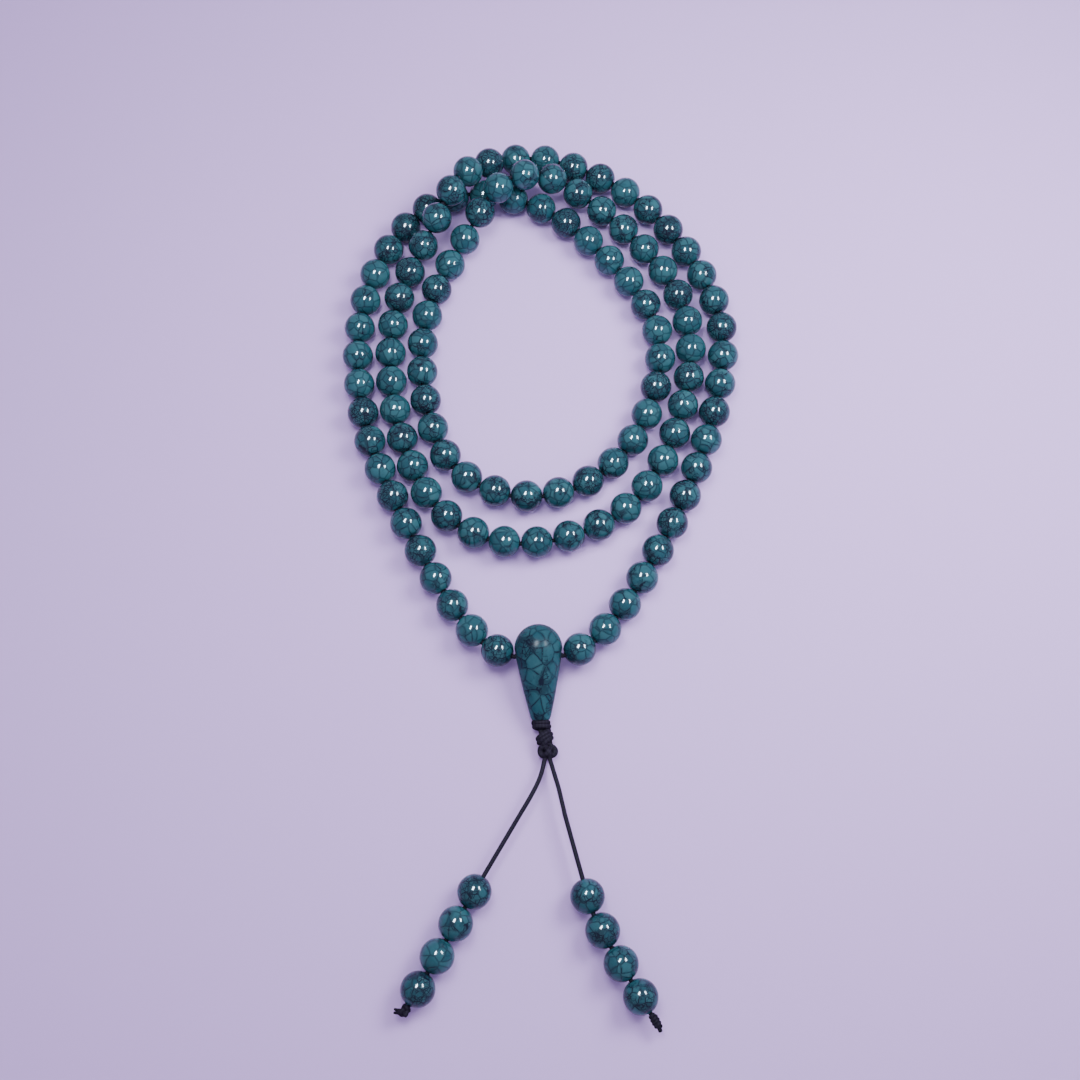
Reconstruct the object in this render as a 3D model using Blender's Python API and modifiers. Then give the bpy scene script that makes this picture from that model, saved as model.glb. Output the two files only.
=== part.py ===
"""A 108-bead prayer strand, wound in three laps as it lies on a table.

The strand's two ends go into the sides of a teardrop guru bead, leave it through its tip and are tied
off in a wrapped knot. Below that a second knot parts two tails, each a bare cord with four beads and an
end knot. Units are metres, +Z is up, and the table is z = 0.
"""
import math

import bmesh
import bpy
import numpy as np
from mathutils import Matrix, Vector

MM = 0.001

# Driving dimensions
BEAD_COUNT = 108            # beads on the strand between the guru bead's two side holes
BEAD_RADIUS = 4.0 * MM
BEAD_RIM_RADIUS = 1.6 * MM  # the small flat round each end of a bead's bore
BORE_RADIUS = 1.05 * MM
CORD_RADIUS = 0.42 * MM
PITCH = 8.2 * MM            # from one bead's centre to the next along the cord
CLEARANCE = 0.35 * MM       # between beads of neighbouring laps
SINK = 0.015 * MM           # how far a bead drops in one step of settling
STIFFNESS = 0.05            # how strongly the cord straightens its bends, 0 to 1
SINGLES_PER_SIDE = 6        # beads beside the guru bead that are bodies of their own
RUN_LENGTH = 3              # beads in each of the other bodies

GURU_RADIUS = 5.85 * MM
GURU_LENGTH = 16.6 * MM     # from the centre of its round end to its tip
GURU_TIP_RADIUS = 2.3 * MM
GURU_BULGE = 0.25 * MM      # how far the taper stands out from a straight cone
GURU_TIP_BORE = 1.3 * MM
GURU_SIDE_BORE = 1.3 * MM   # how far the side bore lies from the round end's centre, towards the tip
GURU_PITCH = math.radians(11.0)   # how far the tip leans down to the table
GURU_YAW = math.radians(2.0)      # how far the tip leans to +X, seen from above

# The laps as they lie, from the guru bead's left side round to its right side: x, y and z in millimetres.
# The first lap goes under the other two where they cross at the top.
GURU_CENTRE = (-0.4, -28.2, 5.95)
ROUTE = [
    (-10.4, -28.6, 5.2), (-21.4, -17.2, 4), (-30.2, -2.4, 4), (-38.0, 12.8, 4), (-44.0, 29.4, 4),
    (-47.8, 45.5, 4), (-47.8, 62.0, 4), (-43.6, 77.8, 4), (-35.0, 91.4, 4), (-27.2, 97.8, 4),
    (-14.0, 99.6, 4), (1.4, 95.0, 4), (13.6, 84.6, 4), (24.2, 72.2, 4), (31.5, 58.0, 4),
    (30.0, 42.0, 4), (23.2, 26.0, 4), (10.5, 14.9, 4), (-5.6, 12.1, 4), (-21.0, 18.8, 4),
    (-29.2, 33.3, 4), (-30.9, 49.5, 4), (-29.5, 66.0, 4), (-22.8, 80.4, 4.6), (-13.7, 94.4, 10),
    (-6.8, 99.8, 12), (1.6, 102.6, 11), (9.0, 100.2, 7.5), (15.9, 95.0, 4), (27.4, 83.6, 4),
    (37.0, 69.2, 4), (39.8, 53.0, 4), (37.3, 37.2, 4), (31.6, 21.8, 4), (21.8, 8.3, 4),
    (6.9, 1.3, 4), (-9.3, -0.3, 4), (-23.8, 6.7, 4), (-32.9, 19.9, 4), (-37.6, 35.8, 4),
    (-39.4, 52.2, 4), (-37.6, 68.4, 4), (-31.4, 83.6, 5), (-26.8, 90.8, 9), (-22.4, 98.0, 12),
    (-16.4, 105.4, 8), (-8.4, 110.2, 4), (-0.6, 111.2, 4), (7.6, 108.6, 4), (22.4, 101.4, 4),
    (34.2, 89.8, 4), (43.2, 75.6, 4), (48.5, 60.0, 4), (47.2, 43.7, 4), (43.2, 27.9, 4),
    (37.8, 13.6, 4), (30.6, -1.0, 4), (20.6, -17.0, 4), (9.6, -28.2, 5.2),
]

# The tails' cords, from the knot that parts them: each a few points, then straight on under its beads.
LEFT_TAIL = [(1.1, -54.8, 2.2), (0.3, -58.2, 3.1), (-1.0, -61.4, 3.8), (-2.8, -64.7, 4), (-4.8, -68.0, 4)]
LEFT_TAIL_BEADS = [(-15.2, -85.4), (-19.4, -92.5), (-23.5, -99.6), (-27.7, -106.7)]
RIGHT_TAIL = [(2.4, -54.8, 2.2), (3.4, -58.2, 3.1), (4.4, -61.6, 3.8), (5.2, -65.0, 4), (6.0, -68.4, 4)]
RIGHT_TAIL_BEADS = [(11.0, -86.4), (14.4, -94.0), (18.5, -101.2), (22.8, -108.3)]

ORIGIN = Vector((0.1 * MM, 30.3 * MM, 0.0))   # the middle of the wound strand, in the route's own axes


def clear_scene():
    for item in list(bpy.data.objects):
        bpy.data.objects.remove(item, do_unlink=True)
    for mesh in list(bpy.data.meshes):
        bpy.data.meshes.remove(mesh)


def make_collection(name):
    group = bpy.data.collections.new(name)
    bpy.context.scene.collection.children.link(group)
    return group


def make_material(name, colour, roughness):
    made = bpy.data.materials.new(name)
    made.use_nodes = True
    shader = made.node_tree.nodes["Principled BSDF"]
    shader.inputs["Base Color"].default_value = (*colour, 1.0)
    shader.inputs["Roughness"].default_value = roughness
    shader.inputs["Metallic"].default_value = 0.0
    return made


# ---- where everything lies

def unit(vectors):
    return vectors / np.linalg.norm(vectors, axis=-1, keepdims=True)


def smooth_curve(points, steps=12):
    """Catmull-Rom curve through the points."""
    padded = np.vstack([2 * points[0] - points[1], points, 2 * points[-1] - points[-2]])
    t = np.linspace(0.0, 1.0, steps, endpoint=False)[:, None]
    pieces = []
    for p0, p1, p2, p3 in zip(padded, padded[1:], padded[2:], padded[3:]):
        pieces.append(0.5 * (2 * p1 + (p2 - p0) * t + (2 * p0 - 5 * p1 + 4 * p2 - p3) * t ** 2
                             + (3 * p1 - p0 - 3 * p2 + p3) * t ** 3))
    return np.vstack(pieces + [points[-1:]])


def spread_evenly(curve, count):
    """Points at equal steps along a curve, both ends included."""
    lengths = np.concatenate([[0.0], np.cumsum(np.linalg.norm(np.diff(curve, axis=0), axis=1))])
    marks = np.linspace(0.0, lengths[-1], count)
    return np.stack([np.interp(marks, lengths, curve[:, axis]) for axis in range(3)], axis=1)


def guru_matrix():
    """The guru bead's place: it is modelled with its tip along -Y and its side holes along X."""
    centre = Vector(GURU_CENTRE) * MM - ORIGIN
    return Matrix.Translation(centre) @ Matrix.Rotation(GURU_YAW, 4, "Z") @ Matrix.Rotation(GURU_PITCH, 4, "X")


def guru_mouths(depth=0.0):
    """Where the cord goes into the guru bead's two side holes, or a depth inside them."""
    reach = GURU_RADIUS + 0.2 * MM - depth
    return [np.array(guru_matrix() @ Vector((side * reach, -GURU_SIDE_BORE, 0.0))) for side in (-1, 1)]


def settle_strand():
    """Bead centres: spaced by PITCH, clear of each other and of the table, and sunk as low as they go.

    The first and last rows stand for the guru bead's two side holes and don't move. The cord lifts the
    beads beside them a little.
    """
    holes = guru_mouths(depth=PITCH / 2)
    route = np.array(ROUTE) * MM - np.array(ORIGIN)
    curve = smooth_curve(np.vstack([holes[0], route, holes[1]]))
    beads = spread_evenly(curve, BEAD_COUNT + 2)
    home = beads[:, :2].copy()
    first, second = np.triu_indices(BEAD_COUNT + 2, 2)
    apart = 2 * BEAD_RADIUS + CLEARANCE
    for step in range(1500):
        if step < 1300:
            fair = (4 * (beads[1:-3] + beads[3:-1]) - beads[:-4] - beads[4:]) / 6
            beads[2:-2] += STIFFNESS * (fair - beads[2:-2])
            beads[3:-3, 2] -= SINK
            beads[1:-1, :2] += 0.02 * (home[1:-1] - beads[1:-1, :2])
        for start in (0, 1):
            links = beads[start + 1::2][:len(beads[start::2])] - beads[start::2][:len(beads[start + 1::2])]
            reach = np.linalg.norm(links, axis=1, keepdims=True)
            fix = 0.5 * (reach - PITCH) * links / reach
            beads[start::2][:len(fix)] += fix
            beads[start + 1::2][:len(fix)] -= fix
        between = beads[second] - beads[first]
        reach = np.linalg.norm(between, axis=1)
        near = reach < apart
        push = 0.4 * (apart - reach[near])[:, None] * between[near] / reach[near][:, None]
        np.add.at(beads, first[near], -push)
        np.add.at(beads, second[near], push)
        beads[:, 2] = np.maximum(beads[:, 2], BEAD_RADIUS)
        beads[0], beads[-1] = holes
    return beads


def bead_axes(settled):
    """Each bead's bore runs along the chord between its neighbours."""
    return unit(settled[2:] - settled[:-2])


def turn_to(direction):
    return Vector(direction).to_track_quat("Z", "Y").to_matrix().to_4x4()


# ---- making pieces

def add_object(name, mesh, group, material=None, matrix=None):
    made = bpy.data.objects.new(name, mesh)
    group.objects.link(made)
    if matrix is not None:
        made.matrix_world = matrix
    if material is not None and not mesh.materials:
        mesh.materials.append(material)
    return made


def make_tube(name, points, radii, group, sides_setting=2):
    """A closed tube through the points, as a mesh object; radii may change from point to point."""
    curve = bpy.data.curves.new(name, "CURVE")
    curve.dimensions = "3D"
    curve.bevel_depth = 1.0
    curve.bevel_resolution = sides_setting
    curve.use_fill_caps = True
    spline = curve.splines.new("POLY")
    spline.points.add(len(points) - 1)
    for knot, point, radius in zip(spline.points, points, radii):
        knot.co = (*point, 1.0)
        knot.radius = radius
    holder = bpy.data.objects.new(name + "_curve", curve)
    group.objects.link(holder)
    depsgraph = bpy.context.evaluated_depsgraph_get()
    mesh = bpy.data.meshes.new_from_object(holder.evaluated_get(depsgraph))
    bpy.data.objects.remove(holder, do_unlink=True)
    shape = bmesh.new()
    shape.from_mesh(mesh)
    bmesh.ops.remove_doubles(shape, verts=shape.verts, dist=0.00001)
    bmesh.ops.recalc_face_normals(shape, faces=shape.faces)
    shape.to_mesh(mesh)
    shape.free()
    mesh.name = name
    mesh.shade_smooth()
    return add_object(name, mesh, group)


def make_turned(name, profile, sides, group, closed=False):
    """A shape turned about its own Z axis from (radius, z) points that run from top to bottom."""
    mesh = bpy.data.meshes.new(name)
    count = len(profile)
    edges = [(i, i + 1) for i in range(count - 1)] + ([(count - 1, 0)] if closed else [])
    mesh.from_pydata([(radius, 0.0, z) for radius, z in profile], edges, [])
    holder = bpy.data.objects.new(name + "_profile", mesh)
    group.objects.link(holder)
    screw = holder.modifiers.new("turn", "SCREW")
    screw.steps = screw.render_steps = sides
    screw.use_merge_vertices = True
    screw.merge_threshold = 0.00001
    depsgraph = bpy.context.evaluated_depsgraph_get()
    turned = bpy.data.meshes.new_from_object(holder.evaluated_get(depsgraph))
    bpy.data.objects.remove(holder, do_unlink=True)
    shape = bmesh.new()
    shape.from_mesh(turned)
    bmesh.ops.recalc_face_normals(shape, faces=shape.faces)
    shape.to_mesh(turned)
    shape.free()
    turned.name = name
    turned.shade_smooth()
    return turned


def cut(target, cutter, operation="DIFFERENCE"):
    cutter.hide_render = True
    cutter.display_type = "WIRE"
    modifier = target.modifiers.new(cutter.name, "BOOLEAN")
    modifier.operation = operation
    modifier.solver = "EXACT"
    modifier.object = cutter


def bead_stations():
    """(offset along the bore, radius) of a bead's outline, from one rim to the other."""
    rim = math.asin(BEAD_RIM_RADIUS / BEAD_RADIUS)
    angles = [math.pi - rim + (2 * rim - math.pi) * i / 5 for i in range(6)]
    return [(BEAD_RADIUS * math.cos(a), BEAD_RADIUS * math.sin(a)) for a in angles]


def make_bead_mesh(group):
    outline = [(radius, offset) for offset, radius in reversed(bead_stations())]
    bottom, top = outline[-1][1], outline[0][1]
    return make_turned("bead", outline + [(BORE_RADIUS, bottom), (BORE_RADIUS, top)], 8, group, closed=True)


def make_run(name, centres, axes, parts, cutters):
    """Beads that share one body: a string of round swellings on a narrow neck, bored from end to end."""
    points, radii = [], []
    for centre, axis in zip(centres, axes):
        for offset, radius in bead_stations():
            points.append(centre + axis * offset)
            radii.append(radius)
    run = make_tube(name, points, radii, parts)
    line = cord_through(centres, axes)
    bore = make_tube(name + "_bore", line, [BORE_RADIUS] * len(line), cutters)
    cut(run, bore)
    return run


def cord_through(centres, axes):
    """The cord's line: straight through each bead, and bent only between beads."""
    half = PITCH / 2
    middles = [(a + da * half + b - db * half) / 2 for a, da, b, db in
               zip(centres, axes, centres[1:], axes[1:])]
    return [centres[0] - axes[0] * half, *middles, centres[-1] + axes[-1] * half]


def guru_outline():
    """(radius, distance from the round end's centre towards the tip), round end first."""
    reach = math.hypot(GURU_LENGTH, GURU_TIP_RADIUS)
    half_angle = math.asin(GURU_RADIUS / reach) - math.atan2(GURU_TIP_RADIUS, GURU_LENGTH)
    start = GURU_RADIUS * math.sin(half_angle)
    outline = [(0.0, -GURU_RADIUS)]
    for i in range(1, 7):
        angle = -math.pi / 2 + (math.pi / 2 + half_angle) * i / 6
        outline.append((GURU_RADIUS * math.cos(angle), GURU_RADIUS * math.sin(angle)))
    for i in range(1, 4):
        share = i / 4
        along = start + (GURU_LENGTH - start) * share
        radius = GURU_TIP_RADIUS + (GURU_LENGTH - along) * math.tan(half_angle)
        outline.append((radius + GURU_BULGE * math.sin(math.pi * share), along))
    outline += [(GURU_TIP_RADIUS + 0.05 * MM, GURU_LENGTH - 0.45 * MM),
                (GURU_TIP_RADIUS - 0.4 * MM, GURU_LENGTH), (0.0, GURU_LENGTH)]
    return outline


def make_guru(parts, cutters, stone):
    profile = [(radius, -along) for radius, along in guru_outline()]
    mesh = make_turned("guru_bead", profile, 20, parts)
    mesh.transform(Matrix.Rotation(-math.pi / 2, 4, "X"))   # its -Z turns to -Y
    guru = add_object("guru_bead", mesh, parts, stone, guru_matrix())
    place = guru_matrix()
    side = [place @ Vector((x * MM, -GURU_SIDE_BORE, 0.0)) for x in (-8.0, 8.0)]
    tip = [place @ Vector((0.0, y * MM, 0.0)) for y in (0.0, -20.0)]
    cut(guru, make_tube("guru_side_bore", side, [BORE_RADIUS] * 2, cutters))
    cut(guru, make_tube("guru_tip_bore", tip, [GURU_TIP_BORE] * 2, cutters, 3))
    return guru


def make_main_cord(beads, axes, parts, black):
    """The strand's cord, both ends inside the guru bead's tip bore."""
    place = guru_matrix()
    leg = 0.58 * MM
    turn = [(leg, 0.2 * MM - GURU_LENGTH), (leg, -3.0 * MM), (leg + 0.15 * MM, -2.1 * MM),
            (leg + 0.7 * MM, -1.5 * MM), (2.2 * MM, -GURU_SIDE_BORE), (5.0 * MM, -GURU_SIDE_BORE)]
    left = [place @ Vector((-x, y, 0.0)) for x, y in turn]
    right = [place @ Vector((x, y, 0.0)) for x, y in reversed(turn)]
    inner = cord_through(beads, axes)
    line = left + [Vector(p) for p in inner] + right
    cord = make_tube("main_cord", line, [CORD_RADIUS] * len(line), parts)
    cord.data.materials.append(black)
    return cord


def make_wrapped_knot(parts, black):
    """Two wound lobes that stop the guru bead's tip."""
    outline = [(0.0, 0.0), (1.3, 0.0), (2.0, -0.45), (2.15, -1.1), (1.95, -1.9), (1.45, -2.3),
               (1.75, -2.75), (2.0, -3.6), (1.95, -4.7), (1.5, -5.5), (0.9, -5.9), (0.0, -5.9)]
    mesh = make_turned("wrapped_knot", [(r * MM, z * MM) for r, z in outline], 12, parts)
    mesh.transform(Matrix.Rotation(-math.pi / 2, 4, "X"))
    tip = guru_matrix() @ Vector((0.0, -GURU_LENGTH - 0.35 * MM, 0.0))
    place = Matrix.Translation((tip.x + 0.15 * MM, tip.y, 2.3 * MM)) @ Matrix.Rotation(math.radians(8.0), 4, "Z")
    return add_object("wrapped_knot", mesh, parts, black, place)


def make_split_knot(parts, black):
    """The small two-lobed knot that parts the tails, turned about X."""
    outline = [(0.0, 2.1), (0.8, 1.9), (1.35, 1.2), (1.25, 0.4), (1.1, 0.0), (1.25, -0.4), (1.35, -1.2),
               (0.8, -1.9), (0.0, -2.1)]
    mesh = make_turned("split_knot", [(r * MM, z * MM) for r, z in outline], 10, parts)
    mesh.transform(Matrix.Rotation(math.pi / 2, 4, "Y"))
    place = Matrix.Translation(Vector((1.75 * MM, -52.9 * MM, 1.75 * MM)) - ORIGIN)
    return add_object("split_knot", mesh, parts, black, place)


def make_tail(side, route, bead_places, bead_mesh, parts, stone, black):
    """A tail: its cord, four beads on it and the knot that ends it."""
    centres = [Vector((x * MM, y * MM, BEAD_RADIUS)) - ORIGIN for x, y in bead_places]
    bare = np.array([Vector(p) * MM - ORIGIN for p in route])
    lead = (centres[0] - Vector(bare[-1])).normalized()
    axes = [lead]
    for before, after in zip(centres, centres[2:]):
        axes.append((after - before).normalized())
    axes.append((centres[-1] - centres[-2]).normalized())
    through = cord_through([np.array(c) for c in centres], [np.array(a) for a in axes])
    through[-1] = np.array(centres[-1] + axes[-1] * (BEAD_RADIUS + 0.45 * MM))
    line = [Vector(p) for p in smooth_curve(bare, 3)] + [Vector(p) for p in through]
    cord = make_tube(f"{side}_tail_cord", line, [CORD_RADIUS] * len(line), parts)
    cord.data.materials.append(black)
    for number, (centre, axis) in enumerate(zip(centres, axes), start=1):
        add_object(f"{side}_tail_bead_{number}", bead_mesh, parts, stone,
                   Matrix.Translation(centre) @ turn_to(axis))
    outline = [(0.0, 1.5), (0.8, 1.4), (1.35, 0.7), (1.35, -0.5), (0.9, -1.3), (0.45, -1.5), (0.45, -3.9),
               (0.0, -3.9)]
    knot = make_turned(f"{side}_end_knot", [(r * MM, z * MM) for r, z in outline], 8, parts)
    place = Vector(line[-1]) + axes[-1] * (1.5 * MM + 0.3 * MM)
    add_object(f"{side}_end_knot", knot, parts, black, Matrix.Translation(place) @ turn_to(-axes[-1]))


def build():
    clear_scene()
    parts = make_collection("prayer_beads")
    cutters = make_collection("cutters")
    stone = make_material("stone_bead", (0.035, 0.20, 0.24), 0.18)
    black = make_material("black_cord", (0.012, 0.012, 0.014), 0.55)

    settled = settle_strand()
    axes = bead_axes(settled)
    beads = settled[1:-1]

    make_guru(parts, cutters, stone)
    make_main_cord(beads, axes, parts, black)
    make_wrapped_knot(parts, black)
    make_split_knot(parts, black)

    bead_mesh = make_bead_mesh(parts)
    last = BEAD_COUNT - SINGLES_PER_SIDE
    for index in [*range(SINGLES_PER_SIDE), *range(last, BEAD_COUNT)]:
        place = Matrix.Translation(beads[index]) @ turn_to(axes[index])
        add_object(f"bead_{index + 1:03d}", bead_mesh, parts, stone, place)
    for start in range(SINGLES_PER_SIDE, last, RUN_LENGTH):
        stop = start + RUN_LENGTH
        run = make_run(f"beads_{start + 1:03d}_{stop:03d}", beads[start:stop], axes[start:stop], parts, cutters)
        run.data.materials.append(stone)

    make_tail("left", LEFT_TAIL, LEFT_TAIL_BEADS, bead_mesh, parts, stone, black)
    make_tail("right", RIGHT_TAIL, RIGHT_TAIL_BEADS, bead_mesh, parts, stone, black)


build()
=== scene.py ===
import math

import bmesh
import bpy
import numpy as np
from mathutils import Matrix, Vector


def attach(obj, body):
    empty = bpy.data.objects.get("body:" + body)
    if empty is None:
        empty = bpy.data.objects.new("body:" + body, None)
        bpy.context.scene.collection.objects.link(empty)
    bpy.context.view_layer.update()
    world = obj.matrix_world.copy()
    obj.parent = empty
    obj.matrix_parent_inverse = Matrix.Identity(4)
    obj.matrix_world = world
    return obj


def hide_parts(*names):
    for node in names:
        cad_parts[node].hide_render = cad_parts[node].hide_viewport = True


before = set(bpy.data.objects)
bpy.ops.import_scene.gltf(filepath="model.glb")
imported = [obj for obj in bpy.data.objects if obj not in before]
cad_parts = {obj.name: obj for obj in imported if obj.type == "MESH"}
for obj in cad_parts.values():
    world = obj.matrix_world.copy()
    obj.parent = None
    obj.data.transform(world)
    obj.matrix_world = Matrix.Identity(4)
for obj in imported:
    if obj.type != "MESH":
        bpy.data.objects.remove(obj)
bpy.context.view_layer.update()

mm = 0.001
room = bpy.context.scene.collection


# small helpers for node trees

def addNode(tree, kind, inputs=None, **settings):
    node = tree.nodes.new(kind)
    for key, value in settings.items():
        setattr(node, key, value)
    for key, value in (inputs or {}).items():
        if isinstance(value, bpy.types.NodeSocket):
            tree.links.new(value, node.inputs[key])
        else:
            node.inputs[key].default_value = value
    return node


def sumOf(tree, operation, *values):
    return addNode(tree, "ShaderNodeMath", dict(enumerate(values)), operation=operation).outputs[0]


def blankTree(name, sockets):
    tree = bpy.data.node_groups.new(name, "GeometryNodeTree")
    tree.is_modifier = True
    tree.interface.new_socket("Geometry", in_out="OUTPUT", socket_type="NodeSocketGeometry")
    tree.interface.new_socket("Geometry", in_out="INPUT", socket_type="NodeSocketGeometry")
    for label, kind in sockets:
        tree.interface.new_socket(label, in_out="INPUT", socket_type="NodeSocket" + kind)
    return tree, tree.nodes.new("NodeGroupInput").outputs


def growPiece(name, seedMesh, tree, values):
    # runs a tree on its seed mesh and keeps the result as a plain mesh
    holder = bpy.data.objects.new(name + "Seed", seedMesh)
    room.objects.link(holder)
    modifier = holder.modifiers.new("grow", "NODES")
    modifier.node_group = tree
    for item in tree.interface.items_tree:
        if item.in_out == "INPUT" and item.name in values:
            modifier[item.identifier] = values[item.name]
    depsgraph = bpy.context.evaluated_depsgraph_get()
    mesh = bpy.data.meshes.new_from_object(holder.evaluated_get(depsgraph))
    mesh.name = name
    bpy.data.objects.remove(holder, do_unlink=True)
    piece = bpy.data.objects.new(name, mesh)
    room.objects.link(piece)
    return piece


def seat(piece, body, slot, *nodes):
    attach(piece, body)
    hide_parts(*nodes)
    print("made", piece.name, len(piece.data.polygons), "faces")
    return piece


# camera

view = {"lens": 41.67, "near": 0.01, "from": (-0.0001, -0.1246, 0.3048), "at": (-0.0001, -0.0303, 0.004)}
camera = bpy.data.objects.new("camera", bpy.data.cameras.new("camera"))
camera.data.lens = view["lens"]
camera.data.clip_start = view["near"]
camera.location = view["from"]
aim = Vector(view["at"]) - Vector(view["from"])
camera.rotation_euler = aim.to_track_quat("-Z", "Y").to_euler()
room.objects.link(camera)
bpy.context.scene.camera = camera
print("camera placed")


# where everything lies, in millimetres until it is placed

strand = {
    "beads": 108, "beadRadius": 4.0, "pitch": 8.2, "clearance": 0.35, "origin": (0.1, 30.3, 0.0),
    # settling: how many rounds, in how many of them the beads sink, and how hard each rule pulls
    "rounds": 1500, "sinkingRounds": 1300, "sink": 0.015, "stiffness": 0.05, "homePull": 0.02, "push": 0.4,
    # beads on each side of the guru bead that turn on their own; the rest go in runs of three
    "loose": 6, "run": 3,
    # the laps from the guru bead's left side round to its right side
    "route": [
        (-10.4, -28.6, 5.2), (-21.4, -17.2, 4), (-30.2, -2.4, 4), (-38.0, 12.8, 4), (-44.0, 29.4, 4),
        (-47.8, 45.5, 4), (-47.8, 62.0, 4), (-43.6, 77.8, 4), (-35.0, 91.4, 4), (-27.2, 97.8, 4),
        (-14.0, 99.6, 4), (1.4, 95.0, 4), (13.6, 84.6, 4), (24.2, 72.2, 4), (31.5, 58.0, 4),
        (30.0, 42.0, 4), (23.2, 26.0, 4), (10.5, 14.9, 4), (-5.6, 12.1, 4), (-21.0, 18.8, 4),
        (-29.2, 33.3, 4), (-30.9, 49.5, 4), (-29.5, 66.0, 4), (-22.8, 80.4, 4.6), (-13.7, 94.4, 10),
        (-6.8, 99.8, 12), (1.6, 102.6, 11), (9.0, 100.2, 7.5), (15.9, 95.0, 4), (27.4, 83.6, 4),
        (37.0, 69.2, 4), (39.8, 53.0, 4), (37.3, 37.2, 4), (31.6, 21.8, 4), (21.8, 8.3, 4),
        (6.9, 1.3, 4), (-9.3, -0.3, 4), (-23.8, 6.7, 4), (-32.9, 19.9, 4), (-37.6, 35.8, 4),
        (-39.4, 52.2, 4), (-37.6, 68.4, 4), (-31.4, 83.6, 5), (-26.8, 90.8, 9), (-22.4, 98.0, 12),
        (-16.4, 105.4, 8), (-8.4, 110.2, 4), (-0.6, 111.2, 4), (7.6, 108.6, 4), (22.4, 101.4, 4),
        (34.2, 89.8, 4), (43.2, 75.6, 4), (48.5, 60.0, 4), (47.2, 43.7, 4), (43.2, 27.9, 4),
        (37.8, 13.6, 4), (30.6, -1.0, 4), (20.6, -17.0, 4), (9.6, -28.2, 5.2),
    ],
}
guru = {
    "radius": 5.85, "length": 17.4, "tipRadius": 2.3, "bulge": 0.18, "edge": 0.4,
    "tipBore": 1.15, "sideBore": 0.9, "flare": 2.4, "flareDepth": 0.55,
    "sideShift": 1.3,            # how far the side bore lies from the ball's centre, towards the tip
    "sideGap": 0.2,              # spare cord between the guru bead and the first bead on each side
    "lean": 11.0, "turn": 2.0,   # degrees
    "centre": (-0.4, -28.2, 5.95),
}
origin = Vector(strand["origin"])


def place(points):
    # points in millimetres, counted from the laps' own origin, as metres in the part's frame
    return [(Vector(point) - origin) * mm for point in points]


guruPlace = (Matrix.Translation(place([guru["centre"]])[0])
             @ Matrix.Rotation(math.radians(guru["turn"]), 4, "Z")
             @ Matrix.Rotation(math.radians(guru["lean"]), 4, "X") @ Matrix.Scale(mm, 4))


def smoothLine(points, steps=12):
    # a curve through all the points, rounder where they turn
    points = np.array([tuple(point) for point in points])
    padded = np.vstack([2 * points[0] - points[1], points, 2 * points[-1] - points[-2]])
    t = np.linspace(0.0, 1.0, steps, endpoint=False)[:, None]
    spans = []
    for p0, p1, p2, p3 in zip(padded, padded[1:], padded[2:], padded[3:]):
        spans.append(0.5 * (2 * p1 + (p2 - p0) * t + (2 * p0 - 5 * p1 + 4 * p2 - p3) * t ** 2
                            + (3 * p1 - p0 - 3 * p2 + p3) * t ** 3))
    return np.vstack(spans + [points[-1:]])


def spreadEvenly(line, count):
    lengths = np.concatenate([[0.0], np.cumsum(np.linalg.norm(np.diff(line, axis=0), axis=1))])
    marks = np.linspace(0.0, lengths[-1], count)
    return np.stack([np.interp(marks, lengths, line[:, axis]) for axis in range(3)], axis=1)


def settleStrand(s):
    # spaces the beads along the laps and lets them drop until they rest on the floor or on each other
    radius, pitch = s["beadRadius"] * mm, s["pitch"] * mm
    apart = (2 * s["beadRadius"] + s["clearance"]) * mm
    inset = guru["radius"] + guru["sideGap"] - s["pitch"] / 2
    holes = [np.array(guruPlace @ Vector((side * inset, -guru["sideShift"], 0.0))) for side in (-1, 1)]
    beads = spreadEvenly(smoothLine([holes[0], *place(s["route"]), holes[1]]), s["beads"] + 2)
    home = beads[:, :2].copy()
    first, second = np.triu_indices(s["beads"] + 2, 2)
    for step in range(s["rounds"]):
        if step < s["sinkingRounds"]:
            fair = (4 * (beads[1:-3] + beads[3:-1]) - beads[:-4] - beads[4:]) / 6
            beads[2:-2] += s["stiffness"] * (fair - beads[2:-2])
            beads[3:-3, 2] -= s["sink"] * mm
            beads[1:-1, :2] += s["homePull"] * (home[1:-1] - beads[1:-1, :2])
        for start in (0, 1):   # every second link, then the others
            links = beads[start + 1::2][:len(beads[start::2])] - beads[start::2][:len(beads[start + 1::2])]
            reach = np.linalg.norm(links, axis=1, keepdims=True)
            fix = 0.5 * (reach - pitch) * links / reach
            beads[start::2][:len(fix)] += fix
            beads[start + 1::2][:len(fix)] -= fix
        between = beads[second] - beads[first]
        reach = np.linalg.norm(between, axis=1)
        near = reach < apart
        push = s["push"] * (apart - reach[near])[:, None] * between[near] / reach[near][:, None]
        np.add.at(beads, first[near], -push)
        np.add.at(beads, second[near], push)
        beads[:, 2] = np.maximum(beads[:, 2], radius)
        beads[0], beads[-1] = holes
    return beads


settled = settleStrand(strand)
beadSpots = settled[1:-1]
beadLines = settled[2:] - settled[:-2]
beadLines /= np.linalg.norm(beadLines, axis=1, keepdims=True)
print("settled", len(beadSpots), "beads")


# finishes

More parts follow.
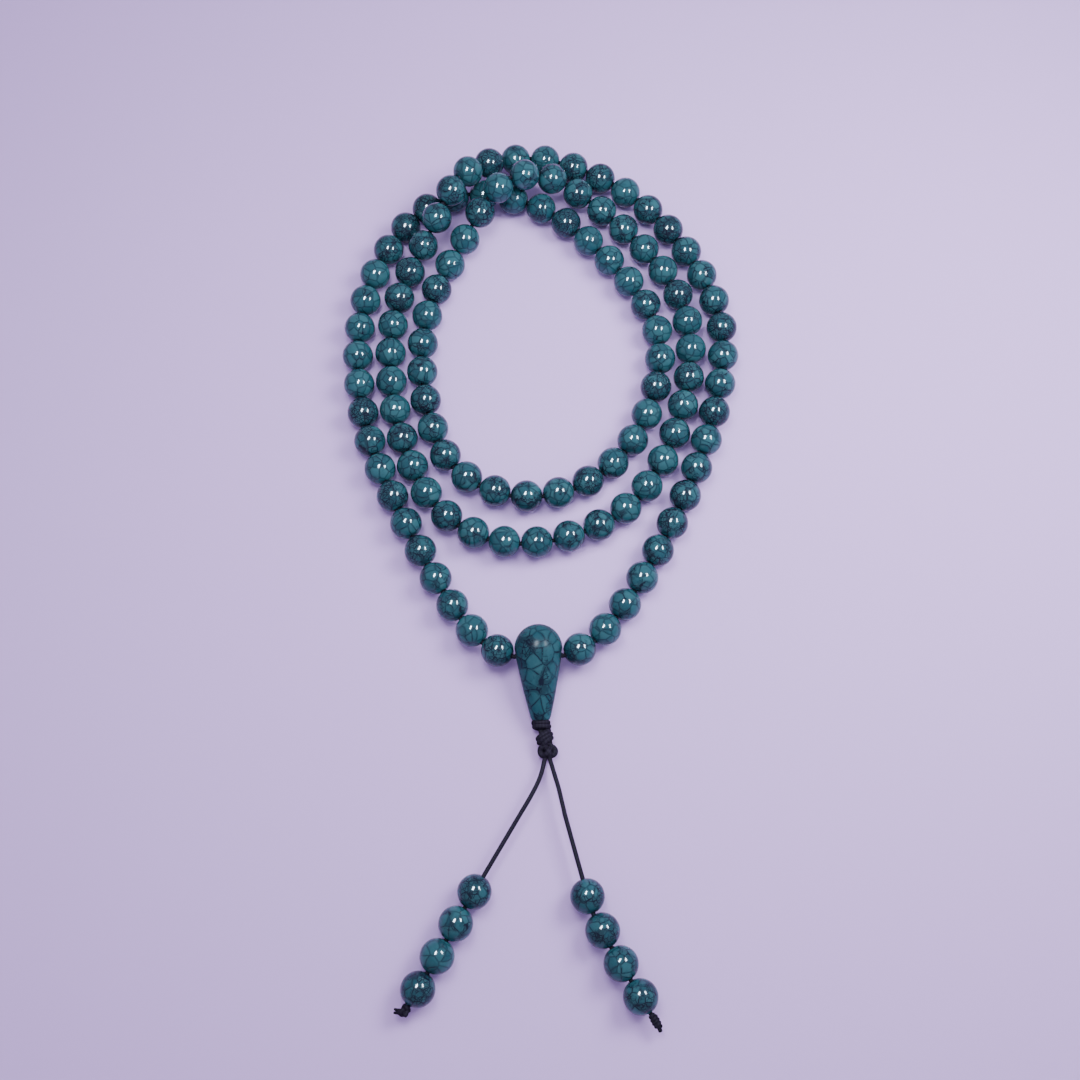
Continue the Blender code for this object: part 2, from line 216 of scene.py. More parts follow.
stoneLook = {
    "deep": (0.016, 0.064, 0.083), "body": (0.023, 0.096, 0.113), "light": (0.033, 0.131, 0.146),
    "slate": (0.038, 0.058, 0.090), "vein": (0.008, 0.013, 0.026),
    # sizes in millimetres: plates, small plates, busy patches, how far the veins wander, mottle and grain
    "cell": 2.3, "fineCell": 1.0, "patch": 3.2, "warp": 1.0, "mottle": 1.1, "grain": 0.35,
    "veinWidth": 0.08, "veinGrow": 2.6, "veinStart": -0.62, "veinLeast": 0.012, "halo": 0.16,
    "fade": (0.38, 0.52), "fadeDepth": 0.75, "corner": 0.60, "cornerSoft": 0.14, "cornerDark": 0.65,
    # how busy the stone is where dark corners and crowded veins set in, and how much beads differ
    "cornerBusy": (0.36, 0.50), "crowdBusy": (0.47, 0.60), "crowdShade": 0.32, "haloShade": 0.5,
    "beadDiffer": 0.36, "beadPlain": 0.20, "speckGrain": (0.60, 0.70), "speckDark": 0.7,
    "roughness": 0.09, "veinRough": 0.04, "gloss": 0.32, "ior": 1.4,
}
guruLook = dict(stoneLook, body=(0.025, 0.090, 0.106), light=(0.032, 0.112, 0.126), cell=3.0,
                fineCell=1.2, patch=4.5, warp=1.1, veinWidth=0.085, halo=0.14, corner=0.56,
                roughness=0.27, gloss=0.05)
cordLook = {
    # gap is painted shade in the grooves between strands; the brighter crest colour is a painted sheen
    "thread": (0.015, 0.012, 0.023), "gap": (0.003, 0.002, 0.006), "paintedSheen": 1.6,
    "carriers": 4, "rise": 1.3,   # strands each way round, and millimetres for one turn
    "fuzz": 9000.0, "bump": 0.6, "bumpDepth": 0.00003, "roughness": 0.7, "gloss": 0.03,
}


def blankFinish(name):
    finish = bpy.data.materials.new(name)
    finish.use_nodes = True
    tree = finish.node_tree
    return finish, tree, tree.nodes["Principled BSDF"]


def ramp(tree, factor, stops):
    # stops is (place, colour), the two ends first
    node = addNode(tree, "ShaderNodeValToRGB", {"Fac": factor})
    band = node.color_ramp
    for index, (spot, colour) in enumerate(stops):
        stop = band.elements[index] if index < 2 else band.elements.new(spot)
        stop.position = spot
        stop.color = (*colour, 1.0)
    return node.outputs["Color"]


def rampDown(tree, value, low, high):
    # 1 below low, 0 above high
    return addNode(tree, "ShaderNodeMapRange", {"Value": value, "From Min": low, "From Max": high,
                   "To Min": 1.0, "To Max": 0.0}, interpolation_type="SMOOTHSTEP").outputs[0]


def rampUp(tree, value, low, high):
    return sumOf(tree, "SUBTRACT", 1.0, rampDown(tree, value, low, high))


def noise(tree, spot, size, **settings):
    # size in millimetres
    return addNode(tree, "ShaderNodeTexNoise", {"Vector": spot, "Scale": 1 / (size * mm), **settings})


def plates(tree, spot, size, **settings):
    return addNode(tree, "ShaderNodeTexVoronoi", {"Vector": spot, "Scale": 1 / (size * mm)}, **settings)


def makeStone(name, look, perBead):
    finish, tree, shader = blankFinish(name)
    spot = addNode(tree, "ShaderNodeTexCoord").outputs["Object"]
    swirl = addNode(tree, "ShaderNodeTexNoise", {"Vector": spot, "Scale": 0.55 / (look["cell"] * mm),
                    "Detail": 3.0}).outputs["Color"]
    bent = addNode(tree, "ShaderNodeVectorMath", {0: swirl, 1: (look["warp"] * mm,) * 3, 2: spot},
                   operation="MULTIPLY_ADD").outputs[0]
    cells = plates(tree, bent, look["cell"])
    edge = plates(tree, bent, look["cell"], feature="DISTANCE_TO_EDGE").outputs["Distance"]
    fineEdge = plates(tree, bent, look["fineCell"], feature="DISTANCE_TO_EDGE").outputs["Distance"]
    patch = noise(tree, spot, look["patch"], Detail=3.0).outputs["Fac"]
    mottle = noise(tree, bent, look["mottle"], Detail=5.0, Roughness=0.6).outputs["Fac"]
    grain = noise(tree, spot, look["grain"], Detail=2.0).outputs["Fac"]
    busy = patch
    if perBead:   # some beads are nearly plain, others full of veins
        own = addNode(tree, "ShaderNodeAttribute", attribute_name="beadTint").outputs["Fac"]
        busy = sumOf(tree, "MULTIPLY_ADD", own, look["beadDiffer"],
                     sumOf(tree, "SUBTRACT", patch, look["beadPlain"]))
    width = sumOf(tree, "MULTIPLY_ADD", busy, look["veinGrow"] * look["veinWidth"],
                  look["veinStart"] * look["veinWidth"])
    vein = rampDown(tree, edge, sumOf(tree, "MULTIPLY", width, 0.35),
                    sumOf(tree, "MAXIMUM", width, look["veinLeast"]))
    # the veins fade and come back along their way
    fade = sumOf(tree, "MULTIPLY_ADD", rampDown(tree, mottle, *look["fade"]), -look["fadeDepth"], 1.0)
    vein = sumOf(tree, "MULTIPLY", vein, fade)
    # dark matrix gathers where three plates meet, so the plates look like rounded pebbles
    corner = rampUp(tree, cells.outputs["Distance"], look["corner"], look["corner"] + look["cornerSoft"])
    corner = sumOf(tree, "MULTIPLY", corner, rampUp(tree, busy, *look["cornerBusy"]))
    vein = sumOf(tree, "MAXIMUM", vein, sumOf(tree, "MULTIPLY", corner, look["cornerDark"]))
    crowd = rampUp(tree, busy, *look["crowdBusy"])
    fine = sumOf(tree, "MULTIPLY", rampDown(tree, fineEdge, 0.03, 0.11), crowd)
    specks = sumOf(tree, "MULTIPLY", rampUp(tree, grain, *look["speckGrain"]), crowd)
    dark = sumOf(tree, "MAXIMUM", sumOf(tree, "MAXIMUM", vein, fine),
                 sumOf(tree, "MULTIPLY", specks, look["speckDark"]))
    # the stone deepens beside a vein and where the veins crowd together
    halo = sumOf(tree, "MULTIPLY", rampDown(tree, edge, 0.0, look["halo"]), look["haloShade"])
    shade = sumOf(tree, "MAXIMUM", halo, sumOf(tree, "MULTIPLY", crowd, look["crowdShade"]))
    stain = sumOf(tree, "MAXIMUM", dark, shade)
    plate = addNode(tree, "ShaderNodeSeparateColor", {"Color": cells.outputs["Color"]}).outputs[0]
    plate = sumOf(tree, "MULTIPLY_ADD", mottle, 0.5, sumOf(tree, "MULTIPLY", plate, 0.5))
    body = ramp(tree, plate, [(0.0, look["slate"]), (1.0, look["light"]), (0.16, look["deep"]),
                              (0.42, look["body"]), (0.72, look["light"])])
    colour = addNode(tree, "ShaderNodeMix", {0: stain, 6: body, 7: (*look["vein"], 1.0)},
                     data_type="RGBA").outputs[2]
    tree.links.new(colour, shader.inputs["Base Color"])
    rough = sumOf(tree, "MULTIPLY_ADD", dark, look["veinRough"], look["roughness"])
    tree.links.new(rough, shader.inputs["Roughness"])
    shader.inputs["IOR"].default_value = look["ior"]
    shader.inputs["Specular IOR Level"].default_value = look["gloss"]
    return finish


def makeCordFinish(name, look):
    # braided thread: two sets of strands that wind opposite ways round the cord
    finish, tree, shader = blankFinish(name)
    around = addNode(tree, "ShaderNodeSeparateXYZ", {"Vector": addNode(
        tree, "ShaderNodeAttribute", attribute_name="aroundCord").outputs["Vector"]})
    along = addNode(tree, "ShaderNodeAttribute", attribute_name="alongCord").outputs["Fac"]
    angle = sumOf(tree, "MULTIPLY", sumOf(tree, "ARCTAN2", around.outputs[1], around.outputs[0]),
                  float(look["carriers"]))
    travel = sumOf(tree, "MULTIPLY", along, 2 * math.pi / (look["rise"] * mm))
    one = sumOf(tree, "SINE", sumOf(tree, "ADD", angle, travel))
    other = sumOf(tree, "SINE", sumOf(tree, "SUBTRACT", angle, travel))
    weave = sumOf(tree, "MULTIPLY_ADD", sumOf(tree, "MULTIPLY", one, other), 0.5, 0.5)
    spot = addNode(tree, "ShaderNodeTexCoord").outputs["Object"]
    fuzz = addNode(tree, "ShaderNodeTexNoise", {"Vector": spot, "Scale": look["fuzz"], "Detail": 3.0})
    mixed = sumOf(tree, "MULTIPLY_ADD", fuzz.outputs["Fac"], 0.5,
                  sumOf(tree, "MULTIPLY_ADD", weave, 0.7, -0.1))
    # painted light: the colour runs from painted shade in the braid's grooves through the thread's own
    # colour to a painted sheen on the strand crests
    paintedSheen = tuple(look["paintedSheen"] * c for c in look["thread"])
    colour = ramp(tree, mixed, [(0.0, look["gap"]), (1.0, paintedSheen), (0.5, look["thread"])])
    tree.links.new(colour, shader.inputs["Base Color"])
    bump = addNode(tree, "ShaderNodeBump", {"Height": mixed, "Strength": look["bump"],
                   "Distance": look["bumpDepth"]})
    tree.links.new(bump.outputs["Normal"], shader.inputs["Normal"])
    shader.inputs["Roughness"].default_value = look["roughness"]
    shader.inputs["Specular IOR Level"].default_value = look["gloss"]
    return finish


beadStone = makeStone("tealStoneBeads", stoneLook, True)
guruStone = makeStone("tealStoneGuru", guruLook, False)
blackCord = makeCordFinish("blackBraidedCord", cordLook)
print("mixed the stone and cord finishes")


# beads: one polished, bored ball, set at each point and turned to its hole

beadCut = {"Bead Radius": 4.07 * mm, "Hole Radius": 0.72 * mm, "Hole Bevel": 0.16 * mm, "Around": 36,
           "Along": 17, "Size Spread": 0.01}
beadSeeds = {"strand": 11, "single": 100, "tail": 300}   # what the chance rolls and tints start from


def makeBeadTree():
    tree, given = blankTree("beadStringing", [
        ("Bead Radius", "Float"), ("Hole Radius", "Float"), ("Hole Bevel", "Float"), ("Around", "Int"),
        ("Along", "Int"), ("Size Spread", "Float"), ("Seed", "Int"), ("Stone", "Material")])
    radius, hole, bevel = given["Bead Radius"], given["Hole Radius"], given["Hole Bevel"]
    # a flat net, one column for each step round the bead and one row for each step over it
    net = addNode(tree, "GeometryNodeMeshGrid", {
        "Size X": 1.0, "Size Y": 1.0, "Vertices X": sumOf(tree, "ADD", given["Around"], 1.0),
        "Vertices Y": sumOf(tree, "ADD", given["Along"], 3.0)})
    spot = addNode(tree, "ShaderNodeSeparateXYZ", {
        "Vector": addNode(tree, "GeometryNodeInputPosition").outputs[0]})
    turn = sumOf(tree, "MULTIPLY", sumOf(tree, "ADD", spot.outputs[0], 0.5), 2 * math.pi)
    row = sumOf(tree, "ROUND", sumOf(tree, "MULTIPLY", sumOf(tree, "ADD", spot.outputs[1], 0.5),
                                     sumOf(tree, "ADD", given["Along"], 2.0)))
    # rows 1 to Along lie on the ball, the first and the row after them are the bore's two mouths
    reach = sumOf(tree, "ARCCOSINE", sumOf(tree, "DIVIDE", sumOf(tree, "ADD", hole, bevel), radius))
    share = sumOf(tree, "DIVIDE", sumOf(tree, "SUBTRACT", row, 1.0),
                  sumOf(tree, "SUBTRACT", given["Along"], 1.0))
    tilt = sumOf(tree, "MULTIPLY", sumOf(tree, "MULTIPLY_ADD", share, 2.0, -1.0), reach)
    last = sumOf(tree, "ADD", given["Along"], 1.0)
    onBall = sumOf(tree, "MULTIPLY", sumOf(tree, "GREATER_THAN", row, 0.5),
                   sumOf(tree, "LESS_THAN", row, sumOf(tree, "SUBTRACT", last, 0.5)))
    top = sumOf(tree, "SUBTRACT", sumOf(tree, "MULTIPLY", radius, sumOf(tree, "SINE", reach)), bevel)
    side = sumOf(tree, "SUBTRACT",
                 sumOf(tree, "MULTIPLY", sumOf(tree, "COMPARE", row, last, 0.5), 2.0), 1.0)
    width = addNode(tree, "ShaderNodeMix", {0: onBall, 2: hole,
                    3: sumOf(tree, "MULTIPLY", radius, sumOf(tree, "COSINE", tilt))}).outputs[0]
    height = addNode(tree, "ShaderNodeMix", {0: onBall, 2: sumOf(tree, "MULTIPLY", top, side),
                     3: sumOf(tree, "MULTIPLY", radius, sumOf(tree, "SINE", tilt))}).outputs[0]
    point = addNode(tree, "ShaderNodeCombineXYZ", {
        0: sumOf(tree, "MULTIPLY", width, sumOf(tree, "COSINE", turn)),
        1: sumOf(tree, "MULTIPLY", width, sumOf(tree, "SINE", turn)), 2: height}).outputs[0]
    ball = addNode(tree, "GeometryNodeSetPosition", {"Geometry": net.outputs["Mesh"], "Position": point})
    ball = addNode(tree, "GeometryNodeMergeByDistance", {"Geometry": ball.outputs[0], "Distance": 0.000001})
    # one at each point, hole along the cord, rolled about it by chance
    line = addNode(tree, "GeometryNodeInputNamedAttribute", {"Name": "boreLine"}, data_type="FLOAT_VECTOR")
    aimed = addNode(tree, "FunctionNodeAlignRotationToVector", {"Vector": line.outputs[0]}, axis="Z")
    wholeTurn = 6.28
    roll = addNode(tree, "FunctionNodeRandomValue", {2: 0.0, 3: wholeTurn, "Seed": given["Seed"]})
    spin = addNode(tree, "FunctionNodeAxisAngleToRotation", {"Axis": (0, 0, 1), "Angle": roll.outputs[1]})
    turned = addNode(tree, "FunctionNodeRotateRotation", {"Rotation": aimed.outputs[0],
                     "Rotate By": spin.outputs[0]}, rotation_space="LOCAL")
    size = addNode(tree, "FunctionNodeRandomValue", {
        2: sumOf(tree, "SUBTRACT", 1.0, given["Size Spread"]), 3: 1.0,
        "Seed": sumOf(tree, "ADD", given["Seed"], 1.0)})
    strung = addNode(tree, "GeometryNodeInstanceOnPoints", {
        "Points": given["Geometry"], "Instance": ball.outputs[0], "Rotation": turned.outputs[0],
        "Scale": size.outputs[1]})
    tint = addNode(tree, "FunctionNodeRandomValue", {2: 0.0, 3: 1.0,
                   "Seed": sumOf(tree, "ADD", given["Seed"], 2.0)})
    marked = addNode(tree, "GeometryNodeStoreNamedAttribute", {
        "Geometry": strung.outputs[0], "Name": "beadTint", "Value": tint.outputs[1]},
        data_type="FLOAT", domain="INSTANCE")
    real = addNode(tree, "GeometryNodeRealizeInstances", {"Geometry": marked.outputs[0]})
    smooth = addNode(tree, "GeometryNodeSetShadeSmooth", {"Geometry": real.outputs[0]})
    done = addNode(tree, "GeometryNodeSetMaterial", {"Geometry": smooth.outputs[0],
                   "Material": given["Stone"]})
    addNode(tree, "NodeGroupOutput", {0: done.outputs[0]})
    return tree


beadTree = makeBeadTree()


def stringBeads(name, spots, lines, seed):
    seedMesh = bpy.data.meshes.new(name + "Points")
    seedMesh.from_pydata([tuple(spot) for spot in spots], [], [])
    bore = seedMesh.attributes.new("boreLine", "FLOAT_VECTOR", "POINT")
    bore.data.foreach_set("vector", np.array([tuple(line) for line in lines], np.float32).ravel())
    return growPiece(name, seedMesh, beadTree, dict(beadCut, Seed=seed, Stone=beadStone))


loose, run, count = strand["loose"], strand["run"], strand["beads"]
singles = [*range(loose), *range(count - loose, count)]
grouped = list(range(loose, count - loose))
runNames = [f"beads_{start + 1:03d}_{start + run:03d}" for start in grouped[::run]]
strandBeads = stringBeads("strandBeads", beadSpots[grouped], beadLines[grouped], beadSeeds["strand"])
seat(strandBeads, "strand", "stone_bead", *runNames)
for index in singles:
    label = f"{index + 1:03d}"
    bead = stringBeads("bead" + label, [beadSpots[index]], [beadLines[index]], beadSeeds["single"] + index)
    seat(bead, "bead_" + label, "stone_bead", "bead_" + label)


# cords: a round braided line swept along a path

cordCut = {"radius": 0.54, "relief": 0.018, "sides": 24, "step": 0.14}


def makeCordTree():
    tree, given = blankTree("cordLaying", [
        ("Cord Radius", "Float"), ("Sides", "Int"), ("Step", "Float"), ("Relief", "Float"),
        ("Carriers", "Float"), ("Rise", "Float"), ("Cord", "Material")])
    line = addNode(tree, "GeometryNodeMeshToCurve", {"Mesh": given["Geometry"]})
    even = addNode(tree, "GeometryNodeResampleCurve", {"Curve": line.outputs[0], "Length": given["Step"]},
                   mode="LENGTH")
    measured = addNode(tree, "GeometryNodeStoreNamedAttribute", {
        "Geometry": even.outputs[0], "Name": "alongCord",
        "Value": addNode(tree, "GeometryNodeSplineParameter").outputs["Length"]},
        data_type="FLOAT", domain="POINT")
    ring = addNode(tree, "GeometryNodeCurvePrimitiveCircle", {
        "Resolution": given["Sides"], "Radius": given["Cord Radius"]})
    turn = sumOf(tree, "DIVIDE", sumOf(tree, "MULTIPLY", addNode(
        tree, "GeometryNodeInputIndex").outputs[0], 2 * math.pi), given["Sides"])
    spoke = addNode(tree, "ShaderNodeCombineXYZ", {0: sumOf(tree, "COSINE", turn),
                    1: sumOf(tree, "SINE", turn)}).outputs[0]
    ring = addNode(tree, "GeometryNodeStoreNamedAttribute", {
        "Geometry": ring.outputs["Curve"], "Name": "aroundCord", "Value": spoke},
        data_type="FLOAT_VECTOR", domain="POINT")
    thick = addNode(tree, "GeometryNodeInputNamedAttribute", {"Name": "thick"}, data_type="FLOAT")
    swept = addNode(tree, "GeometryNodeCurveToMesh", {
        "Curve": measured.outputs[0], "Profile Curve": ring.outputs[0], "Scale": thick.outputs[0],
        "Fill Caps": True})
    # the braid stands a little proud where two strands cross
    along = addNode(tree, "GeometryNodeInputNamedAttribute", {"Name": "alongCord"}, data_type="FLOAT")
    around = addNode(tree, "GeometryNodeInputNamedAttribute", {"Name": "aroundCord"},
                     data_type="FLOAT_VECTOR")
    around = addNode(tree, "ShaderNodeSeparateXYZ", {"Vector": around.outputs[0]})
    angle = sumOf(tree, "MULTIPLY", sumOf(tree, "ARCTAN2", around.outputs[1], around.outputs[0]),
                  given["Carriers"])
    travel = sumOf(tree, "DIVIDE", sumOf(tree, "MULTIPLY", along.outputs[0], 2 * math.pi), given["Rise"])
    weave = sumOf(tree, "MULTIPLY", sumOf(tree, "SINE", sumOf(tree, "ADD", angle, travel)),
                  sumOf(tree, "SINE", sumOf(tree, "SUBTRACT", angle, travel)))
    lift = addNode(tree, "ShaderNodeVectorMath", {
        0: addNode(tree, "GeometryNodeInputNormal").outputs[0],
        "Scale": sumOf(tree, "MULTIPLY", weave, given["Relief"])}, operation="SCALE").outputs[0]
    raised = addNode(tree, "GeometryNodeSetPosition", {"Geometry": swept.outputs[0], "Offset": lift})
    smooth = addNode(tree, "GeometryNodeSetShadeSmooth", {"Geometry": raised.outputs[0]})
    real = addNode(tree, "GeometryNodeRealizeInstances", {"Geometry": smooth.outputs[0]})
    done = addNode(tree, "GeometryNodeSetMaterial", {"Geometry": real.outputs[0],
                   "Material": given["Cord"]})
    addNode(tree, "NodeGroupOutput", {0: done.outputs[0]})
    return tree


cordTree = makeCordTree()


def layCords(name, lines, scales=None, **cut):
    # lines is a list of paths in metres; scales gives each path's thickness, a number or one for each
    # point; anything named after that takes the place of its value in cordCut
    points, edges, thick = [], [], []
    for number, line in enumerate(lines):
        start = len(points)
        points += [tuple(point) for point in line]
        edges += [(start + i, start + i + 1) for i in range(len(line) - 1)]
        thick += list(np.broadcast_to(1.0 if scales is None else scales[number], len(line)))
    seedMesh = bpy.data.meshes.new(name + "Line")
    seedMesh.from_pydata(points, edges, [])
    seedMesh.attributes.new("thick", "FLOAT", "POINT").data.foreach_set("value", thick)
    cut = {**cordCut, **cut}
    return growPiece(name, seedMesh, cordTree, {
        "Cord Radius": cut["radius"] * mm, "Sides": cut["sides"], "Step": cut["step"] * mm,
        "Relief": cut["relief"] * mm, "Carriers": float(cordLook["carriers"]),
        "Rise": cordLook["rise"] * mm, "Cord": blackCord})


def throughBeads(spots, lines):
    # straight through each bead, bent only in the gaps
    half = strand["pitch"] / 2 * mm
    gaps = [(a + da * half + b - db * half) / 2 for a, da, b, db in zip(spots, lines, spots[1:], lines[1:])]
    return [spots[0] - lines[0] * half, *gaps, spots[-1] + lines[-1] * half]


# the cord inside the guru bead, from just short of its tip to a side hole and into the first bead's gap
legs = [(0.58, 0.3 - guru["length"], 0), (0.58, -3.0, 0), (0.73, -2.1, 0), (1.28, -1.5, 0),
        (2.2, -guru["sideShift"], 0), (5.0, -guru["sideShift"], 0)]
leftLeg = [guruPlace @ Vector((-x, y, z)) for x, y, z in legs]
rightLeg = [guruPlace @ Vector(point) for point in reversed(legs)]
strandLine = smoothLine(leftLeg + throughBeads(list(beadSpots), list(beadLines)) + rightLeg, 6)
strandCord = layCords("strandCord", [strandLine], sides=12, step=0.7, relief=0.0)
seat(strandCord, "strand", "black_cord", "main_cord")


# guru bead: a ball that tapers to the tip, bored through its sides and out of the tip

def turnedShape(name, outline, segments):
    # outline is (radius, distance towards the tip), first and last on the axis
    shape = bmesh.new()
    rings = []
    for radius, along in outline[1:-1]:
        rings.append([shape.verts.new((radius * math.cos(a), -along, radius * math.sin(a)))
                      for a in (2 * math.pi * i / segments for i in range(segments))])
    ends = [shape.verts.new((0.0, -outline[i][1], 0.0)) for i in (0, -1)]
    for i in range(segments):
        j = (i + 1) % segments
        shape.faces.new((ends[0], rings[0][i], rings[0][j]))
        shape.faces.new((ends[1], rings[-1][j], rings[-1][i]))
        for low, high in zip(rings, rings[1:]):
            shape.faces.new((low[i], high[i], high[j], low[j]))
    bmesh.ops.recalc_face_normals(shape, faces=shape.faces)
    mesh = bpy.data.meshes.new(name)
    shape.to_mesh(mesh)
    shape.free()
    made = bpy.data.objects.new(name, mesh)
    room.objects.link(made)
    return made


def guruOutline(g, ballRings=24, coneRings=20, edgeRings=5):
    reach = math.hypot(g["length"], g["tipRadius"])
    slope = math.asin(g["radius"] / reach) - math.atan2(g["tipRadius"], g["length"])
    start = g["radius"] * math.sin(slope)
    outline = [(0.0, -g["radius"])]
    for i in range(1, ballRings + 1):
        angle = -math.pi / 2 + (math.pi / 2 + slope) * i / ballRings
        outline.append((g["radius"] * math.cos(angle), g["radius"] * math.sin(angle)))
    for i in range(1, coneRings):
        share = i / coneRings
        along = start + (g["length"] - start) * share
        radius = g["tipRadius"] + (g["length"] - along) * math.tan(slope)
        outline.append((radius + g["bulge"] * math.sin(math.pi * share), along))
    for i in range(edgeRings + 1):   # rounded edge at the tip
        angle = math.pi / 2 * i / edgeRings
        outline.append((g["tipRadius"] - g["edge"] + g["edge"] * math.cos(angle),
                        g["length"] - g["edge"] + g["edge"] * math.sin(angle)))
    return outline + [(0.0, g["length"])]


def makeGuru(g):
    made = turnedShape("guruBody", guruOutline(g), 72)
    # a straight hole that flares at both mouths
    bore, wide = g["sideBore"], g["sideBore"] + g["flare"]
    mouth, beyond = g["radius"] - g["flareDepth"], g["radius"] - g["flareDepth"] + g["flare"]
    side = turnedShape("sideBore", [(0, -9), (wide, -9), (wide, -beyond), (bore, -mouth), (bore, mouth),
                                    (wide, beyond), (wide, 9), (0, 9)], 32)
    side.data.transform(Matrix.Translation((0, -g["sideShift"], 0)) @ Matrix.Rotation(math.pi / 2, 4, "Z"))
    tip = turnedShape("tipBore", [(0, 0), (g["tipBore"], 0), (g["tipBore"], g["length"] - 0.25),
                      (g["tipBore"] + 0.75, g["length"] + 0.5), (0, g["length"] + 0.5)], 32)
    for cutter in (side, tip):
        modifier = made.modifiers.new(cutter.name, "BOOLEAN")
        modifier.solver = "EXACT"
        modifier.object = cutter
    depsgraph = bpy.context.evaluated_depsgraph_get()
    mesh = bpy.data.meshes.new_from_object(made.evaluated_get(depsgraph))
    for spent in (made, side, tip):
        bpy.data.objects.remove(spent, do_unlink=True)
    mesh.transform(guruPlace)
    mesh.shade_smooth()
    mesh.set_sharp_from_angle(angle=math.radians(38))
    mesh.materials.clear()
    mesh.materials.append(guruStone)
    piece = bpy.data.objects.new("guruBead", mesh)
    room.objects.link(piece)
    return piece


seat(makeGuru(guru), "strand", "stone_bead", "guru_bead")


# knots under the guru bead

knots = {
    "tip": (0.25, -45.4, 2.35),        # where the two cords leave the guru bead
    "swell": 1.22, "bow": 1.34,        # the cord fattens where it is pulled tight round itself
    "upper": {"centre": (0.35, -46.45, 2.4), "halfWidth": 1.86, "halfHeight": 1.36, "turns": 2.1,
              "rise": 2.0, "lean": -0.3, "yaw": 4.0, "taper": 0.12},
    "lower": {"centre": (1.15, -49.6, 2.3), "halfWidth": 1.66, "halfHeight": 1.28, "turns": 2.8,
              "rise": 2.6, "lean": 0.50, "yaw": 12.0, "taper": 0.12},
    # the two straight cords in the middle of the wrapped knot
    "core": [(0.75, -48.2, 2.25), (1.50, -51.2, 2.0)], "coreGap": 0.42,
    "split": (1.80, -52.75, 1.85),
    "leftLoop": [(-0.30, 3.0, 0.1), (-0.40, 2.0, 0.35), (-0.70, 1.15, 0.70), (-1.35, 0.90, 0.55),
                 (-1.72, 0.15, 0.1), (-1.50, -0.70, 0.0), (-0.90, -1.05, 0.3), (-0.15, -0.70, 0.90),
                 (0.40, 0.0, 1.00), (0.45, 0.50, 0.2), (0.1, 0.30, -0.80), (-0.35, -0.6, -0.80),
                 (-0.55, -1.4, -0.1), (-0.68, -2.1, 0.35)],
    "rightLoop": [(0.40, 3.0, -0.1), (0.50, 2.0, -0.2), (0.90, 1.2, -0.30), (1.45, 0.85, -0.15),
                  (1.85, 0.15, 0.2), (1.60, -0.70, 0.35), (0.95, -0.95, 0.1), (0.2, -0.65, -0.70),
                  (-0.40, 0.0, -0.90), (-0.45, 0.55, -0.1), (0.0, 0.40, 0.75), (0.40, -0.50, 0.90),
                  (0.52, -1.4, 0.5), (0.60, -2.1, 0.35)],
}


def windTurns(k, stepsPerTurn=28):
    # turns of cord round the two straight ones, the first and last tucked in between them
    turns, rows = k["turns"], []
    for i in range(int(stepsPerTurn * turns) + 1):
        share = i / (stepsPerTurn * turns)
        angle = 2 * math.pi * turns * share
        grow = min(1.0, 6 * share, 6 * (1 - share))
        narrow = (0.45 + 0.55 * grow) * (1 - k["taper"] * share)
        rows.append(Vector((k["halfWidth"] * narrow * math.sin(angle), k["rise"] * (0.5 - share)
                            + k["lean"] * math.sin(angle), -k["halfHeight"] * narrow * math.cos(angle))))
    turn = Matrix.Rotation(math.radians(k["yaw"]), 3, "Z")
    return place([turn @ row + Vector(k["centre"]) for row in rows])


core = []
for side in (-knots["coreGap"], knots["coreGap"]):
    inside = guruPlace @ Vector((side * 1.2, 1.2 - guru["length"], 0.0))
    below = place([(x + side, y, z) for x, y, z in (knots["tip"], *knots["core"])])
    core.append(smoothLine([inside, *below], 8))
wrappedKnot = layCords("wrappedKnot", [windTurns(knots["upper"]), windTurns(knots["lower"]), *core],
                       scales=[knots["swell"]] * 4)
seat(wrappedKnot, "strand", "black_cord", "wrapped_knot")
loops = [smoothLine(place([Vector(knots["split"]) + Vector(point) for point in knots[key]]), 8)
         for key in ("leftLoop", "rightLoop")]
thinning = [np.interp(np.linspace(0, 1, len(loop)), [0, 0.85, 1], [knots["bow"], knots["bow"], 1.0])
            for loop in loops]
splitKnot = layCords("splitKnot", loops, scales=thinning)
seat(splitKnot, "strand", "black_cord", "split_knot")


# tails: a bare cord with four beads and an end knot each

tails = {
    "left": {
        "bare": [(1.1, -54.8, 2.2), (0.3, -58.2, 3.1), (-1.0, -61.4, 3.8), (-2.8, -64.7, 4),
                 (-4.8, -68.0, 4)],
        "beads": [(-15.2, -85.4), (-19.4, -92.5), (-23.5, -99.6), (-27.7, -106.7)], "length": 0.065},
    "right": {
        "bare": [(2.4, -54.8, 2.2), (3.4, -58.2, 3.1), (4.4, -61.6, 3.8), (5.2, -65.0, 4), (6.0, -68.4, 4)],
        "beads": [(11.0, -86.4), (14.4, -94.0), (18.5, -101.2), (22.8, -108.3)], "length": 0.064},
}


def knotPath(end, out, shape):
    # a path in the knot's own axes (outwards, sideways, up), in millimetres from the cord's end
    out = out.normalized()
    up = Vector((0, 0, 1))
    across = up.cross(out)
    return [end + (out * a + across * b + up * c) * mm for a, b, c in shape]


def overhand(size, lift, centre):
    # a closed-up overhand knot: out of the bead, round, under itself and out again
    rows = [(-0.9, 0.0, 0.0), (-0.35, 0.05, 0.0)]
    for i in range(25):
        t = math.pi + 0.55 + (2 * math.pi - 1.1) * i / 24
        x, y = math.sin(t) + 2 * math.sin(2 * t), math.cos(t) - 2 * math.cos(2 * t)
        rows.append((centre + size * x, -size * y * 0.92, -lift * math.sin(3 * t)))
    return rows + [(centre + 0.75, -0.75, -0.05), (centre + 1.05, -0.72, -0.25)]


